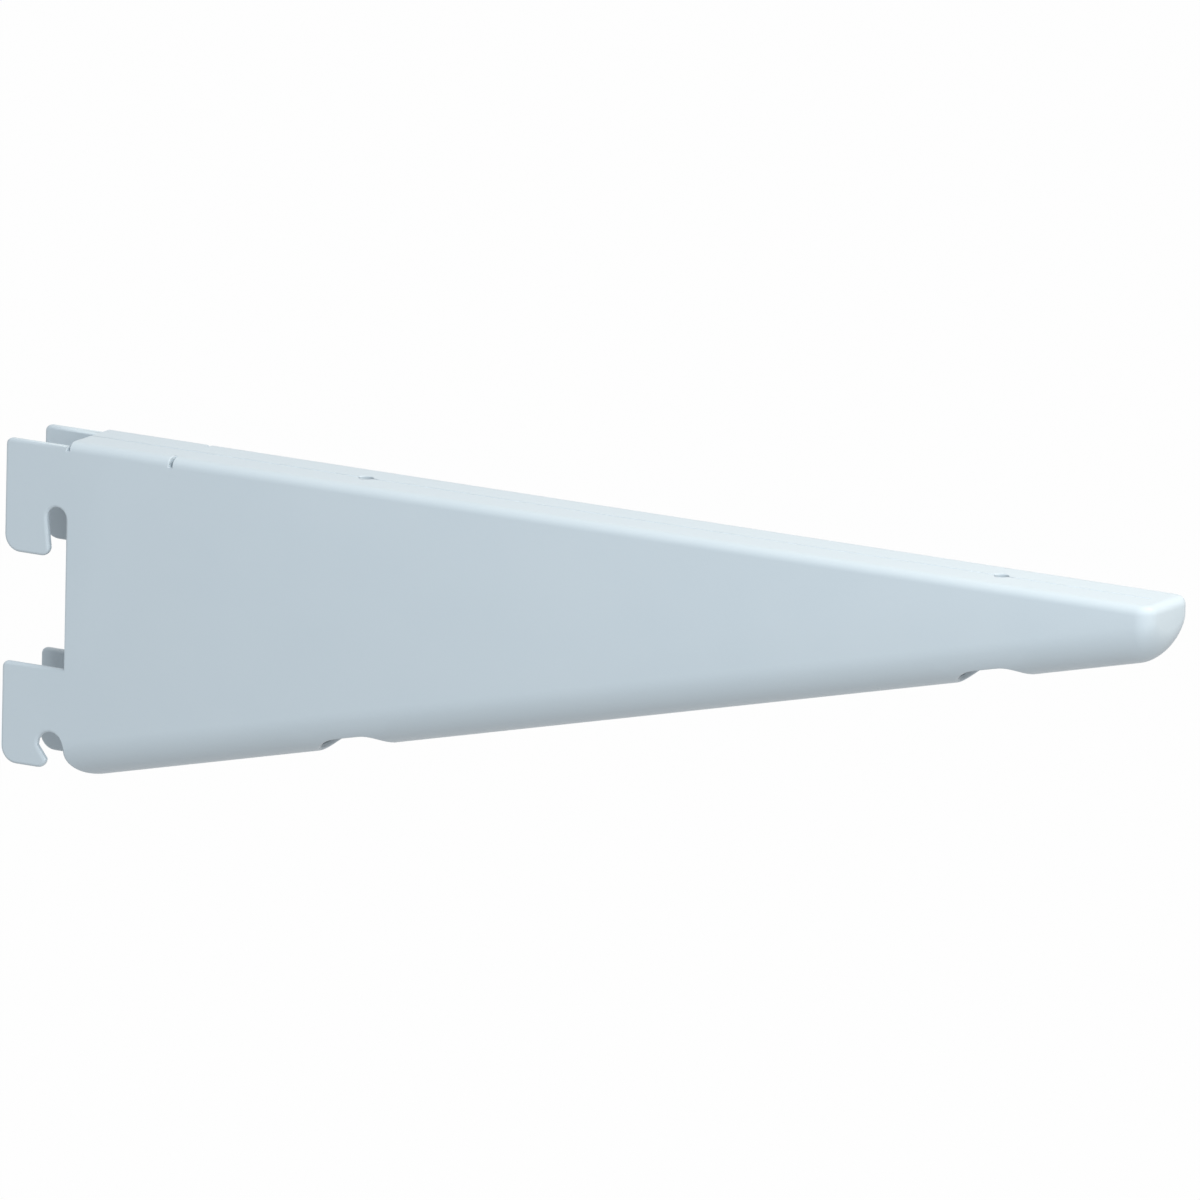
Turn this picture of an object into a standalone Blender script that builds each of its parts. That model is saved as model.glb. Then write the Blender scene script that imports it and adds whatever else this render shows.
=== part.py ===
"""Twin-slot shelf bracket folded from one steel sheet.

The sheet is folded to a channel: two tapered walls, a half-round fold along
the bottom, and a narrow flange turned in along the top of each wall, so that
the two flanges nearly meet. The front is pressed shut to a rounded nose. The
back of each wall carries two hooks, 50 mm apart, that hang in a slotted rail.

Frame: metres, +Z up. X runs from the rail to the nose, with X = 0 where the
walls bear on the rail. Y = 0 is the middle of the width, and Z = 0 is the top.
"""

import math

import bmesh
import bpy
from mathutils import Vector

MM = 0.001

# Sheet and channel
SHEET = 2.0 * MM
LENGTH = 290.0 * MM
WIDTH = 19.0 * MM
TIP_HEIGHT = 13.5 * MM
TOP_BEND_INSIDE = 0.2 * MM
SEAM = 0.3 * MM
CLOSED_TOP = 5.0 * MM

# Nose: inside radii, seen from above and from the side
NOSE_SIDE_INSIDE = 2.0 * MM
NOSE_BOTTOM_INSIDE = 5.0 * MM

# Both hooks, whose slots narrow towards the mouth
HOOK_PITCH = 50.0 * MM
HOOK_REACH = 16.5 * MM
HOOK_CORNER = 4.0 * MM
HOOK_TIP_RADIUS = 2.2 * MM
HOOK_TOP_RADIUS = 1.5 * MM
SLOT_MOUTH = 4.4 * MM

# Upper hook
UPPER_HOOK_STEP = 1.1 * MM
UPPER_HOOK_HEIGHT = 26.6 * MM
UPPER_SLOT_DEPTH = 11.9 * MM
UPPER_SLOT_WIDTH = 5.2 * MM

# Lower hook, and the heel of the fold below it
LOWER_HOOK_HEIGHT = 24.0 * MM
LOWER_SLOT_DEPTH = 8.7 * MM
LOWER_SLOT_WIDTH = 6.8 * MM
HEEL_DROP = 2.8 * MM
HEEL_RADIUS = 5.5 * MM

# Shelf screws, and the holes in the fold that a screwdriver passes through
REAR_SCREW_FROM_RAIL = 75.0 * MM
FRONT_SCREW_FROM_NOSE = 45.0 * MM
SCREW_HOLE = 3.5 * MM
ACCESS_LENGTH = 19.0 * MM
ACCESS_WIDTH = 13.0 * MM

# Nick across each top bend, where the shelf's back edge comes
NICK_FROM_RAIL = 28.0 * MM
NICK_WIDTH = 1.0 * MM
NICK_REACH = 3.0 * MM

# Fineness of the curved faces
BEND_STEPS = 6
FOLD_STEPS = 32
NOSE_STEPS = 12
ARC_STEPS = 8
HOLE_STEPS = 32
SMOOTH_ANGLE = math.radians(30)

# How far a cutter runs past the faces that it cuts, and when two points are one
MARGIN = 6.0 * MM
SAME = 0.001 * MM

HALF = WIDTH / 2
TOP_BEND = SHEET + TOP_BEND_INSIDE
NOSE_SIDE = SHEET + NOSE_SIDE_INSIDE
NOSE_BOTTOM = SHEET + NOSE_BOTTOM_INSIDE
UPPER_HOOK_BOTTOM = UPPER_HOOK_STEP + UPPER_HOOK_HEIGHT
LOWER_HOOK_BOTTOM = UPPER_HOOK_BOTTOM + HOOK_PITCH
BACK_HEIGHT = LOWER_HOOK_BOTTOM + HEEL_DROP
TAPER = math.atan((BACK_HEIGHT - TIP_HEIGHT) / LENGTH)
SCREWS = {"rear": REAR_SCREW_FROM_RAIL, "front": LENGTH - FRONT_SCREW_FROM_NOSE}


def bottom_line(x):
    """Height of the sloping bottom."""
    return -BACK_HEIGHT + x * math.tan(TAPER)


def fold_axis(x):
    """Height of the bottom fold's axis, which runs parallel to the bottom."""
    return bottom_line(x) + HALF / math.cos(TAPER)


def turned_in(radius, x, end):
    """How far a quarter-round of this radius, ending at end, has turned in at x."""
    run = min(max(x - (end - radius), 0.0), radius)
    return radius - math.sqrt(radius * radius - run * run)


def channel_section(x, inset):
    """The channel's outline across x as (y, z) points, moved inwards by inset."""
    end = LENGTH - inset
    half = HALF - inset - turned_in(NOSE_SIDE - inset, x, end)
    top_drop = turned_in(TOP_BEND - inset, x, end)
    corner = TOP_BEND - inset - top_drop
    top = -inset - top_drop
    axis = min(fold_axis(x), top - corner)
    bottom = bottom_line(x) + inset / math.cos(TAPER) + turned_in(NOSE_BOTTOM - inset, x, end)
    points = []
    for i in range(BEND_STEPS + 1):
        turn = math.radians(90.0 * i / BEND_STEPS)
        points.append((half - corner + corner * math.sin(turn), top - corner + corner * math.cos(turn)))
    for i in range(FOLD_STEPS + 1):
        turn = math.radians(180.0 * i / FOLD_STEPS)
        points.append((half * math.cos(turn), axis - (axis - bottom) * math.sin(turn)))
    points += [(-y, z) for y, z in reversed(points[:BEND_STEPS + 1])]
    return points


def block_section(inset, top, floor):
    """The back section with its bends squared out to top and floor."""
    half = HALF - inset
    points = []
    for y, z in channel_section(0.0, inset):
        if z > -TOP_BEND + SAME:
            points.append((math.copysign(half, y), top))
        elif z < fold_axis(0.0) - SAME:
            points.append((y, floor))
        else:
            points.append((y, z))
    return points


def new_object(name, bm):
    """Object made from a closed bmesh, with its faces turned outwards."""
    bmesh.ops.remove_doubles(bm, verts=bm.verts, dist=SAME)
    bmesh.ops.dissolve_degenerate(bm, edges=bm.edges, dist=SAME)
    bmesh.ops.recalc_face_normals(bm, faces=bm.faces)
    mesh = bpy.data.meshes.new(name)
    bm.to_mesh(mesh)
    bm.free()
    return bpy.data.objects.new(name, mesh)


def add_wall(bm, near, far):
    """Faces between two rings of the same number of points."""
    for i in range(len(near)):
        j = (i + 1) % len(near)
        bm.faces.new((near[i], near[j], far[j], far[i]))


def channel_solid(name, inset, back, top, floor):
    """The channel ahead of X = 0, and behind it the plain block that the hooks are cut from."""
    block = block_section(inset, top, floor)
    stations = [(back, block), (0.0, block), (0.0, channel_section(0.0, inset))]
    radius = NOSE_BOTTOM - inset
    for i in range(NOSE_STEPS + 1):
        x = LENGTH - inset - radius + radius * math.sin(math.radians(90.0 * i / NOSE_STEPS))
        stations.append((x, channel_section(x, inset)))
    bm = bmesh.new()
    rings = [[bm.verts.new((x, y, z)) for y, z in outline] for x, outline in stations]
    for near, far in zip(rings, rings[1:]):
        add_wall(bm, near, far)
    bm.faces.new(rings[0])
    bm.faces.new(rings[-1])
    return new_object(name, bm)


def arc(x, z, radius, start, stop):
    """Points of an arc about (x, z), from start to stop degrees."""
    points = []
    for i in range(ARC_STEPS + 1):
        turn = math.radians(start + (stop - start) * i / ARC_STEPS)
        points.append((x + radius * math.cos(turn), z + radius * math.sin(turn)))
    return points


def hook_outline(bottom, height, slot_depth, slot_width):
    """One hook's (x, z) outline, from the wall's edge above it to the wall's edge below it."""
    top = bottom + height
    slot = slot_width / 2
    toe = -SLOT_MOUTH
    points = [(0.0, top)]
    points += arc(-HOOK_REACH + HOOK_TOP_RADIUS, top - HOOK_TOP_RADIUS, HOOK_TOP_RADIUS, 90, 180)
    points += arc(-HOOK_REACH + HOOK_CORNER, bottom + HOOK_CORNER, HOOK_CORNER, 180, 270)
    points += arc(toe - HOOK_TIP_RADIUS, bottom + HOOK_TIP_RADIUS, HOOK_TIP_RADIUS, 270, 360)
    points += arc(-slot, bottom + slot_depth - slot, slot, 180, 0)
    return points


def side_outline():
    """The hooks and the heel as (x, z) points. Ahead of the heel it only has to clear the channel."""
    heel_z = bottom_line(HEEL_RADIUS) + HEEL_RADIUS / math.cos(TAPER)
    points = [(LENGTH + MARGIN, MARGIN), (0.0, MARGIN)]
    points += hook_outline(-UPPER_HOOK_BOTTOM, UPPER_HOOK_HEIGHT, UPPER_SLOT_DEPTH, UPPER_SLOT_WIDTH)
    points += hook_outline(-LOWER_HOOK_BOTTOM, LOWER_HOOK_HEIGHT, LOWER_SLOT_DEPTH, LOWER_SLOT_WIDTH)
    points += arc(HEEL_RADIUS, heel_z, HEEL_RADIUS, 180, 270)
    points.append((LENGTH + MARGIN, -BACK_HEIGHT - MARGIN))
    return points


def prism(name, outline, half_depth):
    """Solid with this (x, z) outline, as deep as half_depth to each side."""
    bm = bmesh.new()
    near = [bm.verts.new((x, -half_depth, z)) for x, z in outline]
    far = [bm.verts.new((x, half_depth, z)) for x, z in outline]
    add_wall(bm, near, far)
    bm.faces.new(near)
    bm.faces.new(far)
    return new_object(name, bm)


def access_punch(name, centre_x):
    """Cutter for the hole in the bottom fold. It points at the fold's axis all round."""
    end_radius = ACCESS_WIDTH / 2
    straight = ACCESS_LENGTH / 2 - end_radius
    middle = HALF - SHEET / 2
    bm = bmesh.new()
    rings = []
    for radius in ((HALF - SHEET) / 2, HALF + MARGIN):
        ring = []
        for i in range(HOLE_STEPS):
            turn = math.radians(360.0 * (i + 0.5) / HOLE_STEPS)
            x = centre_x + end_radius * math.cos(turn) + math.copysign(straight, math.cos(turn))
            swing = end_radius * math.sin(turn) / middle
            ring.append(bm.verts.new((x, radius * math.sin(swing), fold_axis(x) - radius * math.cos(swing))))
        centre = bm.verts.new((centre_x, 0.0, fold_axis(centre_x) - radius))
        for i in range(HOLE_STEPS):
            bm.faces.new((ring[i], ring[(i + 1) % HOLE_STEPS], centre))
        rings.append(ring)
    add_wall(bm, rings[0], rings[1])
    return new_object(name, bm)


def screw_punch(name, centre_x):
    """Cutter for a shelf screw's hole, half of it in each flange."""
    bm = bmesh.new()
    bmesh.ops.create_cone(bm, cap_ends=True, segments=HOLE_STEPS, radius1=SCREW_HOLE / 2,
                          radius2=SCREW_HOLE / 2, depth=4 * SHEET)
    bmesh.ops.translate(bm, verts=bm.verts, vec=(centre_x, 0.0, 0.0))
    return new_object(name, bm)


def box_cutter(name, low, high):
    """Box between two corners."""
    bm = bmesh.new()
    bmesh.ops.create_cube(bm, size=1.0)
    low, high = Vector(low), Vector(high)
    bmesh.ops.scale(bm, verts=bm.verts, vec=high - low)
    bmesh.ops.translate(bm, verts=bm.verts, vec=(low + high) / 2)
    return new_object(name, bm)


def add_boolean(target, operation, cutter, cutters):
    """Cut target with cutter, and keep the cutter in view as a wire."""
    cutters.objects.link(cutter)
    cutter.display_type = "WIRE"
    cutter.hide_render = True
    modifier = target.modifiers.new(cutter.name, "BOOLEAN")
    modifier.operation = operation
    modifier.solver = "EXACT"
    modifier.object = cutter


def powder_coat():
    """Pale grey powder coat on steel."""
    material = bpy.data.materials.new("powder_coat_grey")
    material.use_nodes = True
    shader = material.node_tree.nodes["Principled BSDF"]
    shader.inputs["Base Color"].default_value = (0.55, 0.62, 0.66, 1.0)
    shader.inputs["Roughness"].default_value = 0.45
    shader.inputs["Metallic"].default_value = 0.0
    return material


def build_bracket(parts, cutters):
    """The whole bracket, which is one folded sheet."""
    floor = -BACK_HEIGHT - MARGIN
    bracket = channel_solid("bracket", 0.0, -HOOK_REACH - MARGIN, MARGIN, floor)
    parts.objects.link(bracket)
    inside = channel_solid("channel_inside", SHEET, -HOOK_REACH - 2 * MARGIN, 2 * MARGIN, floor - MARGIN)
    add_boolean(bracket, "DIFFERENCE", inside, cutters)
    add_boolean(bracket, "INTERSECT", prism("side_profile", side_outline(), HALF + MARGIN), cutters)
    seam = box_cutter("flange_seam", (-MARGIN, -SEAM / 2, -2 * SHEET), (LENGTH - CLOSED_TOP, SEAM / 2, MARGIN))
    add_boolean(bracket, "DIFFERENCE", seam, cutters)
    for place, x in SCREWS.items():
        add_boolean(bracket, "DIFFERENCE", access_punch(f"access_hole_{place}", x), cutters)
        add_boolean(bracket, "DIFFERENCE", screw_punch(f"screw_hole_{place}", x), cutters)
    for name, side in (("left", -1), ("right", 1)):
        across = sorted((side * (HALF - NICK_REACH), side * (HALF + MARGIN)))
        nick = box_cutter(f"nick_{name}", (NICK_FROM_RAIL - NICK_WIDTH / 2, across[0], -TOP_BEND),
                          (NICK_FROM_RAIL + NICK_WIDTH / 2, across[1], MARGIN))
        add_boolean(bracket, "DIFFERENCE", nick, cutters)
    bracket.data.materials.append(powder_coat())
    bracket.data.shade_smooth()
    bracket.data.set_sharp_from_angle(angle=SMOOTH_ANGLE)


for old in list(bpy.data.objects):
    bpy.data.objects.remove(old, do_unlink=True)
part_collection = bpy.data.collections.new("slotted_shelf_bracket")
cutter_collection = bpy.data.collections.new("cutters")
bpy.context.scene.collection.children.link(part_collection)
bpy.context.scene.collection.children.link(cutter_collection)
build_bracket(part_collection, cutter_collection)
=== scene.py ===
"""Looks of the slotted shelf bracket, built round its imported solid."""

import math

import bmesh
import bpy
from mathutils import Euler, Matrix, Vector


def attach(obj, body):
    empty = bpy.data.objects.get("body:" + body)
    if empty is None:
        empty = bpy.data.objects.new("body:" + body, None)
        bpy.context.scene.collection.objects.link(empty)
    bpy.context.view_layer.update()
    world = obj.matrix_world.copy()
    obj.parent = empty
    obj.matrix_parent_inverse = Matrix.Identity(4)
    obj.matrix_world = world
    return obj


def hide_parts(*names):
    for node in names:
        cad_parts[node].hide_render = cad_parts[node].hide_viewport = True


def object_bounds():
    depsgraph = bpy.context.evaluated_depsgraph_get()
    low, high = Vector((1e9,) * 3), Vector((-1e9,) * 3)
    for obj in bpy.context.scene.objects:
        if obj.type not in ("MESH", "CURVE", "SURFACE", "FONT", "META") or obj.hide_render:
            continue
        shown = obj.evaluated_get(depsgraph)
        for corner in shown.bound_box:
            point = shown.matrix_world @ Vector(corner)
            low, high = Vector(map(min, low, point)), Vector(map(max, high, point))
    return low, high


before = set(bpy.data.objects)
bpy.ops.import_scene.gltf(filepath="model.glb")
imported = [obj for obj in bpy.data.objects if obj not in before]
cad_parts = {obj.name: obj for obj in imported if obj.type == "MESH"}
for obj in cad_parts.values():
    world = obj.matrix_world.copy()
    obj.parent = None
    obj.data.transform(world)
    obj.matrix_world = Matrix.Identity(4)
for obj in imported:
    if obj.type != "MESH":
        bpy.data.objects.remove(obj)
cad_low, cad_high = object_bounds()

MM = 0.001

# The folded sheet, from the outside. The real bracket is one piece of 2 mm steel: punched flat,
# folded to a channel with a half-round bottom, and pressed shut at the nose. It is drawn here as
# the sheet's outer face, one half of it and then its mirror image, and gets its thickness last.

SHEET = 2.0 * MM
LENGTH = cad_high.x
HALF = cad_high.y
BACK_HEIGHT = 80.5 * MM
TIP_HEIGHT = 13.5 * MM
TOP_BEND = 2.2 * MM
NOSE_SIDE = 4.0 * MM
NOSE_BOTTOM = 7.0 * MM
HALF_SEAM = 0.15 * MM
SEAM_END = LENGTH - 5.0 * MM
NICK_X = 28.0 * MM
NICK_WIDTH = 1.0 * MM
NICK_EDGE = 6.5 * MM
SCREW_X = (75.0 * MM, 245.0 * MM)
SCREW_HOLE = 3.5 * MM
ACCESS_LENGTH = 19.0 * MM
ACCESS_WIDTH = 13.0 * MM
RELIEF = 0.7 * MM
TAPER = math.atan((BACK_HEIGHT - TIP_HEIGHT) / LENGTH)

# How finely it is divided.
FOLD_ROWS = 18
BEND_ROWS = 6
NOSE_COLUMNS = 14
HOLE_MARGIN = 4.5 * MM
HOLE_COLUMN = 2.0 * MM
HOLE_RINGS = 3
HOLE_ROWS = 15
SCREW_STEPS = 16
SCREW_COLUMNS = 4
SAME_POINT = 0.002 * MM
REAR_SPAN = 14.0 * MM

bm = bmesh.new()


def face(points):
    """One face of the half sheet, without the corners that fall together."""
    kept = [p for i, p in enumerate(points) if (p - points[i - 1]).length > SAME_POINT]
    if len(kept) > 2:
        bm.faces.new([bm.verts.new(p) for p in kept])


def turned_in(radius, x):
    """How far a quarter-round that ends at the nose has turned in at x."""
    run = min(max(x - (LENGTH - radius), 0.0), radius)
    return radius - math.sqrt(radius * radius - run * run)


def bottom_line(x):
    return -BACK_HEIGHT + x * math.tan(TAPER)


def on_fold(x, row):
    """Point of the bottom fold, from its lowest line (row 0) to the wall."""
    turn = math.radians(90.0 * row / FOLD_ROWS)
    axis = min(bottom_line(x) + HALF / math.cos(TAPER), -TOP_BEND)
    bottom = bottom_line(x) + turned_in(NOSE_BOTTOM, x)
    half = HALF - turned_in(NOSE_SIDE, x)
    return Vector((x, half * math.sin(turn), axis - (axis - bottom) * math.cos(turn)))


def on_bend(x, row):
    """Point of the top bend, from the wall (row 0) to the flange."""
    turn = math.radians(90.0 * row / BEND_ROWS)
    drop = turned_in(TOP_BEND, x)
    corner = TOP_BEND - drop
    half = HALF - turned_in(NOSE_SIDE, x)
    return Vector((x, half - corner + corner * math.cos(turn), -TOP_BEND + corner * math.sin(turn)))


def on_flange(x, y):
    """Point of the flange, y being its distance from the middle where the flange is widest."""
    edge = on_bend(x, BEND_ROWS)
    return Vector((x, edge.y * y / (HALF - TOP_BEND), edge.z))


def strip(near, far):
    """Row of quads between two lines of points."""
    for i in range(len(near) - 1):
        face([near[i], near[i + 1], far[i + 1], far[i]])


def stations():
    """Where the sheet is divided along its length."""
    places = {RELIEF, REAR_SPAN, NICK_X - NICK_WIDTH / 2, NICK_X + NICK_WIDTH / 2, SEAM_END}
    for screw in SCREW_X:
        half_window = ACCESS_LENGTH / 2 + HOLE_MARGIN
        count = round(2 * half_window / HOLE_COLUMN)
        places.update(screw - half_window + i * HOLE_COLUMN for i in range(count + 1))
    for i in range(NOSE_COLUMNS + 1):
        places.add(LENGTH - NOSE_BOTTOM + NOSE_BOTTOM * math.sin(math.radians(90.0 * i / NOSE_COLUMNS)))
    return sorted(places)


def beside(x, centres, reach):
    return any(abs(x - centre) < reach for centre in centres)


def flange_face(xa, xb, outer, inner):
    """One face of the flange, between two stations and two distances from the middle."""
    face([on_flange(xa, outer), on_flange(xa, inner), on_flange(xb, inner), on_flange(xb, outer)])


# The channel, column by column. Fold and wall begin ahead of the hooks. Bend and flange begin at
# the narrow relief cut that parts them from the upper hook.

columns = stations()
for xa, xb in zip(columns, columns[1:]):
    middle = (xa + xb) / 2
    in_nick = beside(middle, [NICK_X], NICK_WIDTH / 2)
    if xa >= REAR_SPAN:
        first_row = HOLE_ROWS if beside(middle, SCREW_X, ACCESS_LENGTH / 2 + HOLE_MARGIN) else 0
        strip([on_fold(xa, row) for row in range(first_row, FOLD_ROWS + 1)],
              [on_fold(xb, row) for row in range(first_row, FOLD_ROWS + 1)])
        face([on_fold(xa, FOLD_ROWS), on_bend(xa, 0), on_bend(xb, 0), on_fold(xb, FOLD_ROWS)])
    if not in_nick:
        strip([on_bend(xa, row) for row in range(BEND_ROWS + 1)],
              [on_bend(xb, row) for row in range(BEND_ROWS + 1)])
        flange_face(xa, xb, HALF - TOP_BEND, NICK_EDGE)
    if not beside(middle, SCREW_X, SCREW_COLUMNS * HOLE_COLUMN / 2):
        flange_face(xa, xb, NICK_EDGE, HALF_SEAM)
    if middle > SEAM_END:
        flange_face(xa, xb, HALF_SEAM, 0.0)

# The flat end of the nose.
end = [on_fold(LENGTH, row) for row in range(FOLD_ROWS + 1)] + [on_bend(LENGTH, 0)]
end += [on_flange(LENGTH, y) for y in (NICK_EDGE, HALF_SEAM, 0.0)]
face(end)

# Each access hole is a long round hole, laid round the fold. Rings of faces lead from it out to a
# square window in the channel.
for screw in SCREW_X:
    left, right = screw - ACCESS_LENGTH / 2 - HOLE_MARGIN, screw + ACCESS_LENGTH / 2 + HOLE_MARGIN
    across = round((right - left) / HOLE_COLUMN)
    outer = [(left, row) for row in range(HOLE_ROWS)]
    outer += [(left + i * HOLE_COLUMN, HOLE_ROWS) for i in range(across)]
    outer += [(right, row) for row in range(HOLE_ROWS, -1, -1)]
    radius = ACCESS_WIDTH / 2
    straight = ACCESS_LENGTH / 2 - radius
    middle_radius = HALF - SHEET / 2
    inner = []
    for i in range(len(outer)):
        way = (2 * straight + math.pi * radius) * i / (len(outer) - 1)
        if way < math.pi * radius / 2:
            x = screw - straight - radius * math.cos(way / radius)
            y = radius * math.sin(way / radius)
        elif way < math.pi * radius / 2 + 2 * straight:
            x = screw - straight + way - math.pi * radius / 2
            y = radius
        else:
            turn = (way - 2 * straight) / radius
            x = screw + straight - radius * math.cos(turn)
            y = radius * math.sin(turn)
        inner.append((x, math.degrees(y / middle_radius) * FOLD_ROWS / 90.0))
    rings = []
    for k in range(HOLE_RINGS + 1):
        share = k / HOLE_RINGS
        rings.append([on_fold(a[0] + (b[0] - a[0]) * share, a[1] + (b[1] - a[1]) * share)
                      for a, b in zip(outer, inner)])
    for near, far in zip(rings, rings[1:]):
        strip(near, far)
    # The shelf screw's hole above it is half in each flange.
    first = screw - SCREW_COLUMNS * HOLE_COLUMN / 2
    last = screw + SCREW_COLUMNS * HOLE_COLUMN / 2
    rim = []
    start = math.asin(HALF_SEAM / (SCREW_HOLE / 2))
    for i in range(SCREW_STEPS + 1):
        turn = start + (math.pi - 2 * start) * i / SCREW_STEPS
        rim.append(Vector((screw + SCREW_HOLE / 2 * math.cos(turn), SCREW_HOLE / 2 * math.sin(turn), 0.0)))
    outside = [on_flange(first, HALF_SEAM)]
    outside += [on_flange(first + i * HOLE_COLUMN, NICK_EDGE) for i in range(SCREW_COLUMNS + 1)]
    outside += [on_flange(last, HALF_SEAM)]
    face(outside + rim)

# The back of the wall with its two hooks, which hang in the rail's slots, and the heel of the fold.

HOOK_REACH = -cad_low.x
HOOK_CORNER = 4.0 * MM
HOOK_TIP_RADIUS = 2.2 * MM
HOOK_TOP_RADIUS = 1.5 * MM
UPPER_HOOK_TOP = -1.1 * MM
UPPER_HOOK_TIP = -27.7 * MM
UPPER_SLOT_ROOT = -15.8 * MM
UPPER_SLOT_WIDTH = 5.2 * MM
LOWER_HOOK_TOP = -53.7 * MM
LOWER_HOOK_TIP = -77.7 * MM
LOWER_SLOT_ROOT = -69.0 * MM
LOWER_SLOT_WIDTH = 6.8 * MM
SLOT_MOUTH = 4.4 * MM
HEEL_RADIUS = 5.5 * MM
ARC_STEPS = 8
REAR_COLUMNS = 4
SHOULDER = 3.0 * MM
NECK_ROW = FOLD_ROWS - 2


def arc(x, z, radius, start, stop):
    """Points of an arc in the wall's plane, from start to stop degrees."""
    points = []
    for i in range(ARC_STEPS + 1):
        turn = math.radians(start + (stop - start) * i / ARC_STEPS)
        points.append(Vector((x + radius * math.cos(turn), HALF, z + radius * math.sin(turn))))
    return points


def hook(top, bottom, slot_root, slot_width):
    """One hook's outline, from the wall's edge above it round to its slot."""
    slot = slot_width / 2
    toe = -SLOT_MOUTH
    points = [Vector((0.0, HALF, top))]
    points += arc(-HOOK_REACH + HOOK_TOP_RADIUS, top - HOOK_TOP_RADIUS, HOOK_TOP_RADIUS, 90, 180)
    points += arc(-HOOK_REACH + HOOK_CORNER, bottom + HOOK_CORNER, HOOK_CORNER, 180, 270)
    points += arc(toe - HOOK_TIP_RADIUS, bottom + HOOK_TIP_RADIUS, HOOK_TIP_RADIUS, 270, 360)
    points += arc(-slot, slot_root - slot, slot, 180, 0)
    return points


def heel_x(row):
    """Where the rounded heel cuts the fold off at a row."""
    slope = math.tan(TAPER)
    heel_z = bottom_line(HEEL_RADIUS) + HEEL_RADIUS / math.cos(TAPER)
    rise = on_fold(0.0, row).z - heel_z
    if rise >= 0:
        return 0.0
    b = HEEL_RADIUS - rise * slope
    a = 1 + slope * slope
    return (b - math.sqrt(max(b * b - a * rise * rise, 0.0))) / a


back = [heel_x(row) for row in range(NECK_ROW + 1)] + [SHOULDER] * (FOLD_ROWS - NECK_ROW)
back_rows = [on_fold(x, row) for row, x in enumerate(back)]
for j in range(REAR_COLUMNS):
    lines = []
    for k in (j, j + 1):
        share = k / REAR_COLUMNS
        lines.append([on_fold(x + (REAR_SPAN - x) * share, row) for row, x in enumerate(back)])
    strip(lines[0], lines[1])

upper = hook(UPPER_HOOK_TOP, UPPER_HOOK_TIP, UPPER_SLOT_ROOT, UPPER_SLOT_WIDTH)
lower = hook(LOWER_HOOK_TOP, LOWER_HOOK_TIP, LOWER_SLOT_ROOT, LOWER_SLOT_WIDTH)
# The lower slot ends where the heel of the fold begins.
lower[-1] = back_rows[NECK_ROW]

# The edges between the wall's faces run slanting into its corners, so that the rounding of the
# cut edge, added below, passes them evenly.
top_back = Vector((0.0, HALF, -TOP_BEND))
upper_inner = [Vector((SHOULDER, HALF, upper[-1].z)),
               top_back + Vector((-SHOULDER, 0.0, -SHOULDER)),
               top_back]
lower_inner = [back_rows[-1], lower[0] + Vector((SHOULDER, 0.0, -SHOULDER)), lower[0]]
face(upper + upper_inner)
face(lower[1:] + back_rows[NECK_ROW + 1:-1] + lower_inner)
wall = lower_inner + [upper[-1]] + upper_inner + [on_bend(RELIEF, 0), on_bend(REAR_SPAN, 0)]
for j in range(REAR_COLUMNS):
    wall.append(on_fold(REAR_SPAN + (SHOULDER - REAR_SPAN) * j / REAR_COLUMNS, FOLD_ROWS))
face(wall)

# The other half, then the sheet's thickness and the rounding that the coat gives every cut edge.

EDGE_ROUND = 0.8 * MM
FINE_SHARE = 0.3
FINE_X = -0.5 * MM
FINE_Z = -3.0 * MM
EDGE_STEPS = 4

bmesh.ops.remove_doubles(bm, verts=bm.verts, dist=SAME_POINT)
bmesh.ops.mirror(bm, geom=bm.verts[:] + bm.edges[:] + bm.faces[:], axis="Y", merge_dist=SAME_POINT)
bmesh.ops.remove_doubles(bm, verts=bm.verts, dist=SAME_POINT)
bmesh.ops.recalc_face_normals(bm, faces=bm.faces)
highest = max(bm.faces, key=lambda f: f.calc_center_median().z)
if highest.normal.z < 0:
    bmesh.ops.reverse_faces(bm, faces=bm.faces)
sheet_mesh = bpy.data.meshes.new("folded_sheet")
bm.to_mesh(sheet_mesh)
bm.free()
sheet_mesh.shade_smooth()

# Two empty slots let the thickness mark the cut edges, which the rounding then picks out.
sheet_mesh.materials.append(None)
sheet_mesh.materials.append(None)
sheet = bpy.data.objects.new("folded_sheet", sheet_mesh)
bpy.context.scene.collection.objects.link(sheet)

thickness = sheet.modifiers.new("thickness", "SOLIDIFY")
thickness.thickness = SHEET
thickness.offset = -1.0
thickness.use_even_offset = True
thickness.use_quality_normals = True
thickness.material_offset_rim = 1


def settle(piece):
    """Turn a piece's modifiers into plain mesh."""
    shape = piece.evaluated_get(bpy.context.evaluated_depsgraph_get())
    mesh = bpy.data.meshes.new_from_object(shape)
    piece.modifiers.clear()
    piece.data = mesh


settle(sheet)

# Seam, nicks and screw holes are narrow, so the cut edges of the top are rounded less.
bm = bmesh.new()
bm.from_mesh(sheet.data)
weight = bm.edges.layers.float.new("bevel_weight_edge")
for edge in bm.edges:
    if sum(f.material_index for f in edge.link_faces) == 1:
        middle = (edge.verts[0].co + edge.verts[1].co) / 2
        edge[weight] = FINE_SHARE if middle.x > FINE_X and middle.z > FINE_Z else 1.0
for polygon in bm.faces:
    polygon.material_index = 0
bm.to_mesh(sheet.data)
bm.free()
cut_edges = sheet.modifiers.new("cut edges", "BEVEL")
cut_edges.limit_method = "WEIGHT"
cut_edges.width = EDGE_ROUND
cut_edges.segments = EDGE_STEPS
cut_edges.use_clamp_overlap = False
cut_edges.harden_normals = True
settle(sheet)

# Beside a nick the rounding bulges by a hair, so the sides are held to the bracket's width.
for vertex in sheet.data.vertices:
    vertex.co.y = min(max(vertex.co.y, -HALF), HALF)

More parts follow.
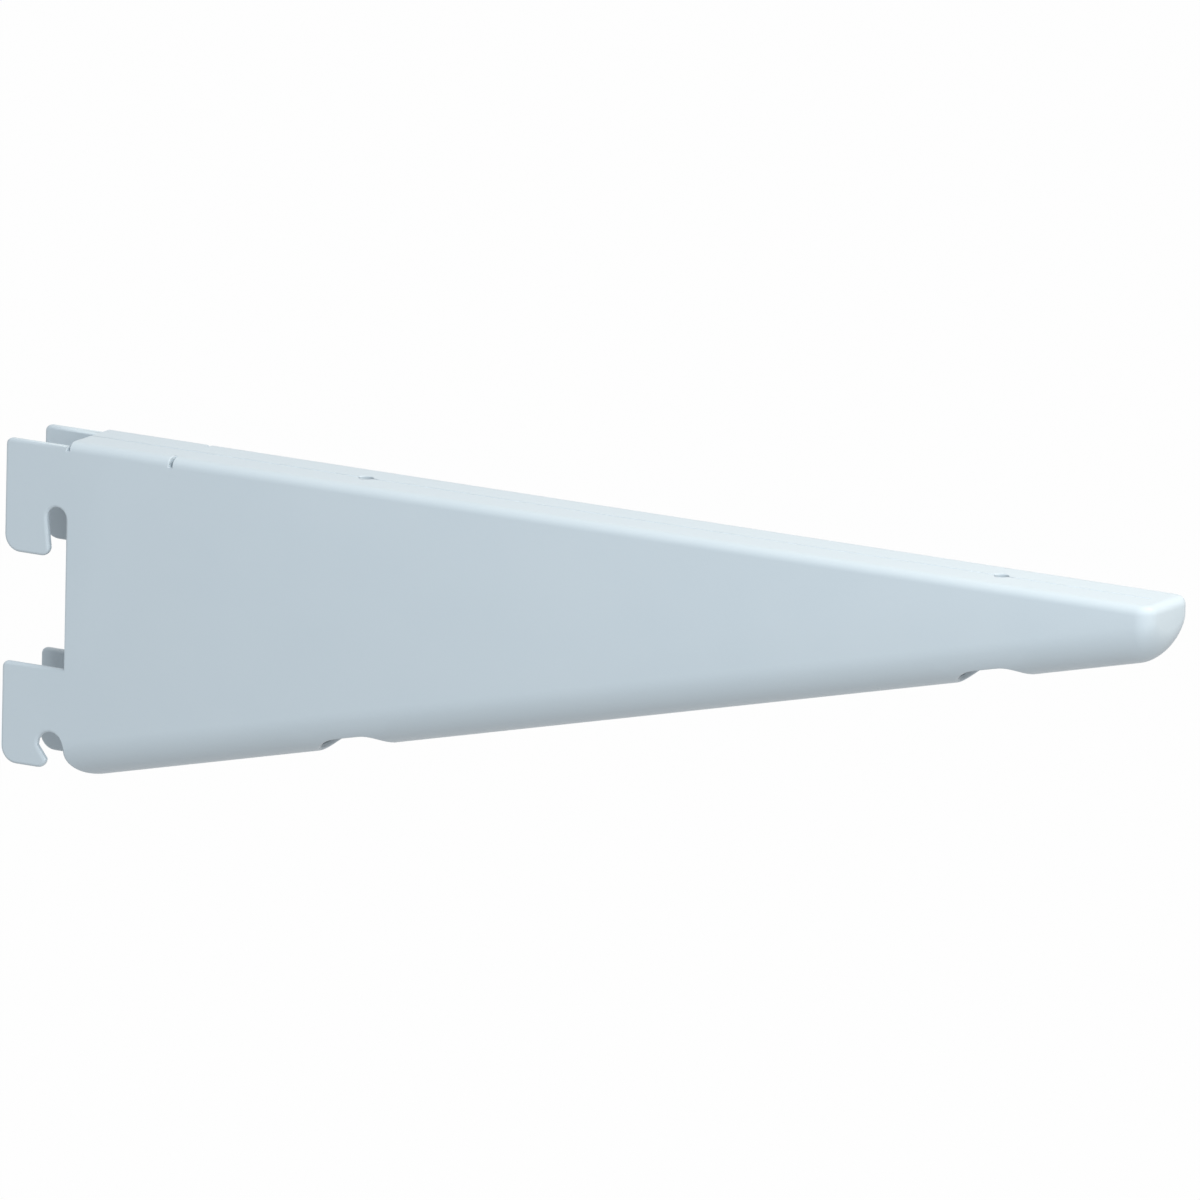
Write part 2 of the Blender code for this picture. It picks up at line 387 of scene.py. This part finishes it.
# Powder coat, baked on: satin pale grey, with the fine orange peel that powder leaves as it
# flows, and faint clouds where it lies thicker.

COAT_GREY = (0.53, 0.605, 0.66, 1.0)
COAT_PALE = (0.56, 0.63, 0.68, 1.0)
COAT_ROUGHNESS = 0.42
CLOUD_SIZE = 22 * MM
PEEL_SIZE = 1.1 * MM
PEEL_HEIGHT = 0.012 * MM
CLOUD_SHEEN = 0.08
PEEL_SHEEN = 0.06


class Wire:
    """A shader socket. An operator on it adds a Math node, and node() adds any other."""

    def __init__(self, tree, socket=None):
        self.tree = tree
        self.socket = socket

    def node(self, kind, settings=None, inputs=None, output=0):
        made = self.tree.nodes.new(kind)
        for name, value in (settings or {}).items():
            setattr(made, name, value)
        for name, value in (inputs or {}).items():
            if isinstance(value, Wire):
                self.tree.links.new(value.socket, made.inputs[name])
            else:
                made.inputs[name].default_value = value
        return Wire(self.tree, made.outputs[output]) if made.outputs else None

    def math(self, operation, first, second):
        return self.node("ShaderNodeMath", {"operation": operation}, {0: first, 1: second})

    def __add__(self, other):
        return self.math("ADD", self, other)

    def __radd__(self, other):
        return self.math("ADD", other, self)

    def __sub__(self, other):
        return self.math("SUBTRACT", self, other)

    def __mul__(self, other):
        return self.math("MULTIPLY", self, other)

    def into(self, node, name):
        self.tree.links.new(self.socket, node.inputs[name])


powder_coat = bpy.data.materials.new("powder_coat_satin_grey")
powder_coat.use_nodes = True
coat_tree = powder_coat.node_tree
coat_shader = coat_tree.nodes["Principled BSDF"]
coat_shader.inputs["IOR"].default_value = 1.5
wire = Wire(coat_tree)
place = wire.node("ShaderNodeTexCoord", output="Object")
clouds = wire.node("ShaderNodeTexNoise", inputs={"Vector": place, "Scale": 1 / CLOUD_SIZE, "Detail": 3.0})
peel = wire.node("ShaderNodeTexNoise", inputs={"Vector": place, "Scale": 1 / PEEL_SIZE, "Detail": 2.0})
colour = wire.node("ShaderNodeMix", {"data_type": "RGBA"},
                   {"Factor": clouds, 6: COAT_GREY, 7: COAT_PALE}, output=2)
roughness = COAT_ROUGHNESS + (clouds - 0.5) * CLOUD_SHEEN + (peel - 0.5) * PEEL_SHEEN
bump = wire.node("ShaderNodeBump", inputs={"Height": peel, "Distance": PEEL_HEIGHT, "Strength": 1.0})
colour.into(coat_shader, "Base Color")
roughness.into(coat_shader, "Roughness")
bump.into(coat_shader, "Normal")

sheet.data.materials.clear()
sheet.data.materials.append(powder_coat)
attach(sheet, "root")
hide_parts("bracket")

# Studio: a plain pale floor well below the bracket, which hangs as it does on its rail. A weak
# warm lamp stands above and beyond the nose, and a stronger cool one, which leaves no glare, high
# up and to the right of the camera. A pale room lies all round.

FLOOR_DROP = 0.22
FLOOR_SPREAD = 12.0
FLOOR_GREY = (0.5, 0.5, 0.5, 1.0)
WHITE = (1.0, 1.0, 1.0, 1.0)
ROOM = (0.93, 0.97, 1.0, 1.0)
ROOM_LEVEL = 0.64
FLOOR_WHITEN = 0.985
WARM = (1.0, 0.9, 0.75)
COOL = (0.94, 0.98, 1.0)


def plainly_seen(wire):
    """1 for rays from the camera, also by way of a shiny or clear surface."""
    camera_ray = wire.node("ShaderNodeLightPath", output="Is Camera Ray")
    glossy_ray = wire.node("ShaderNodeLightPath", output="Is Glossy Ray")
    clear_ray = wire.node("ShaderNodeLightPath", output="Is Transmission Ray")
    return camera_ray + glossy_ray + clear_ray


floor_mesh = bpy.data.meshes.new("floor")
floor_z = cad_low.z - FLOOR_DROP
corners = [(x * FLOOR_SPREAD, y * FLOOR_SPREAD, floor_z) for x, y in [(-1, -1), (1, -1), (1, 1), (-1, 1)]]
floor_mesh.from_pydata(corners, [], [(0, 1, 2, 3)])
floor = bpy.data.objects.new("floor", floor_mesh)
bpy.context.scene.collection.objects.link(floor)

floor_finish = bpy.data.materials.new("pale_floor")
floor_finish.use_nodes = True
floor_finish.node_tree.nodes.clear()
wire = Wire(floor_finish.node_tree)
grey = wire.node("ShaderNodeBsdfDiffuse", inputs={"Color": FLOOR_GREY})
glow = wire.node("ShaderNodeEmission", inputs={"Color": WHITE, "Strength": 1.0})
mixed = wire.node("ShaderNodeMixShader", inputs={0: plainly_seen(wire) * FLOOR_WHITEN, 1: grey, 2: glow})
wire.node("ShaderNodeOutputMaterial", inputs={"Surface": mixed})
floor_mesh.materials.append(floor_finish)

world = bpy.data.worlds.new("pale_room")
world.use_nodes = True
bpy.context.scene.world = world
world.node_tree.nodes.clear()
wire = Wire(world.node_tree)
room = wire.node("ShaderNodeBackground", inputs={"Color": ROOM, "Strength": ROOM_LEVEL})
white = wire.node("ShaderNodeBackground", inputs={"Color": WHITE, "Strength": 1.0})
mixed = wire.node("ShaderNodeMixShader", inputs={0: plainly_seen(wire), 1: room, 2: white})
wire.node("ShaderNodeOutputWorld", inputs={"Surface": mixed})


def add_lamp(name, offset, size, watts, colour, shines=True):
    """Square soft lamp at an offset from the bracket's middle, turned towards it."""
    data = bpy.data.lights.new(name, "AREA")
    data.shape = "SQUARE"
    data.size = size
    data.energy = watts
    data.color = colour
    lamp = bpy.data.objects.new(name, data)
    lamp.location = (cad_low + cad_high) / 2 + Vector(offset)
    lamp.rotation_euler = (-Vector(offset)).to_track_quat("-Z", "Y").to_euler()
    lamp.visible_glossy = shines
    bpy.context.scene.collection.objects.link(lamp)


add_lamp("key", offset=(0.38, 0.05, 0.5), size=0.4, watts=1.8, colour=WARM)
add_lamp("front", offset=(0.95, -1.0, 0.9), size=0.5, watts=17.0, colour=COOL, shines=False)

# Camera, at the photograph's angle: from the front right and a little above, and tilted a
# degree, through a long lens.

VIEW_ROUND = math.radians(31.1)
VIEW_ABOVE = math.radians(12.8)
VIEW_TILT = math.radians(1.2)
VIEW_DISTANCE = 12.0
VIEW_WIDTH = 274.7 * MM
LOOK_AT = Vector((138.6, -0.35, -20.1)) * MM

camera_data = bpy.data.cameras.new("camera")
camera_data.sensor_width = 36.0
camera_data.lens = camera_data.sensor_width * VIEW_DISTANCE / VIEW_WIDTH
camera = bpy.data.objects.new("camera", camera_data)
turn = Euler((math.pi / 2 - VIEW_ABOVE, 0.0, VIEW_ROUND)).to_matrix()
turn = turn @ Euler((0.0, 0.0, VIEW_TILT)).to_matrix()
camera.rotation_euler = turn.to_euler()
camera.location = LOOK_AT + turn.col[2] * VIEW_DISTANCE
bpy.context.scene.collection.objects.link(camera)
bpy.context.scene.camera = camera

bpy.context.scene.view_settings.view_transform = "Standard"
